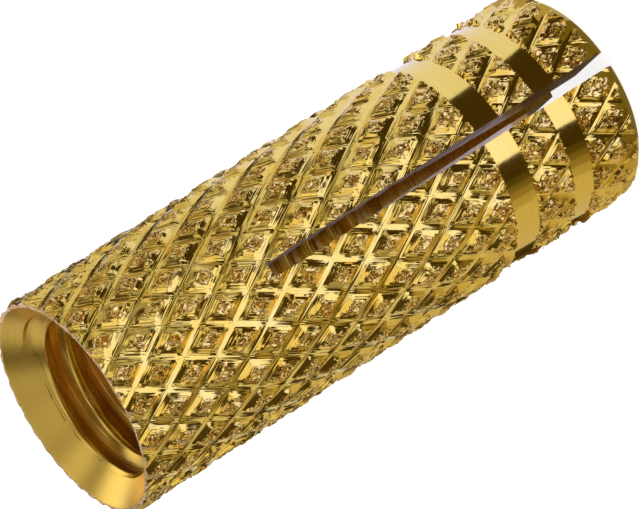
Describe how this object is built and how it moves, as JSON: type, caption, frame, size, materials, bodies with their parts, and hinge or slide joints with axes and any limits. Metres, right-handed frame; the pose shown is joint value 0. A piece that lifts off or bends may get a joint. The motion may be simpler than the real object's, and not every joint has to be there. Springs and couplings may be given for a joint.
{
  "type": "slotted expansion anchor",
  "caption": "Knurled brass sleeve with a threaded mouth and saw slots; a bolt driven into its narrowing bore spreads the legs in a drilled hole.",
  "frame": {"origin": "centre of the slotted end, in the plane of its end face, where the axis meets it", "axes": "+Z runs along the sleeve's axis from the slotted end up to the threaded mouth, with the slots in the XZ and YZ planes"},
  "size_m": [0.0102, 0.0102, 0.0275],
  "materials": {
    "brass": "bright turned brass, with rough crumbly tops on the knurl and fine turning marks on the bands and the countersink"
  },
  "bodies": {
    "root": {"expansion_sleeve": "brass"}
  },
  "joints": []
}
